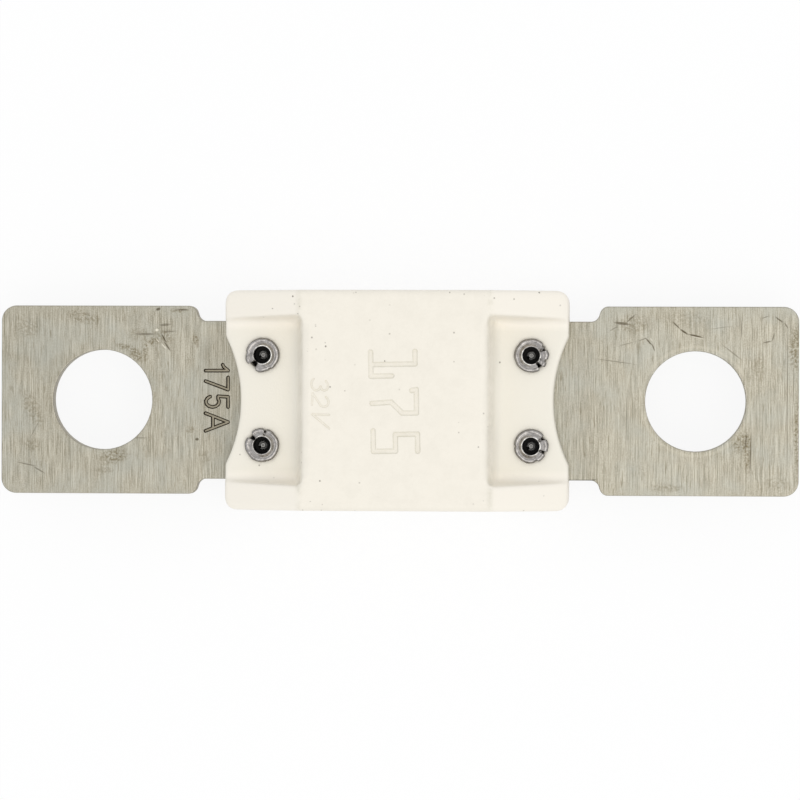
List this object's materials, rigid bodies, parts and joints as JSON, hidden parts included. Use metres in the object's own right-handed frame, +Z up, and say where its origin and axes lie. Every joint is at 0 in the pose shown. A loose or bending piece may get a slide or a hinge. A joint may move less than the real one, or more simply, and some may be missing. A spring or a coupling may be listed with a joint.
{
  "type": "bolt down strip fuse",
  "caption": "Bolt down strip fuse: a flat metal strip with a bolt hole in each end tab, and a thin link between them, closed in riveted off-white covers with sloped shoulders.",
  "frame": {"origin": "middle of the flat face of the lower cover, which the part rests on", "axes": "+X along the strip, +Y across it, +Z up from the lower cover to the upper one, which has the rolled ends of the rivets"},
  "size_m": [0.0686, 0.0188, 0.0107],
  "materials": {
    "strip_metal": "rolled sheet with fine marks across it, dull grey",
    "tin": "pressed, dull",
    "cover_plastic": "moulded, off-white, satin",
    "rivet_metal": "rolled over, semi-bright"
  },
  "bodies": {
    "root": {"fuse_strip": "strip_metal", "tin_pellet": "tin", "lower_cover": "cover_plastic", "upper_cover": "cover_plastic", "rivet_left_back": "rivet_metal", "rivet_left_front": "rivet_metal", "rivet_right_back": "rivet_metal", "rivet_right_front": "rivet_metal"}
  },
  "joints": []
}
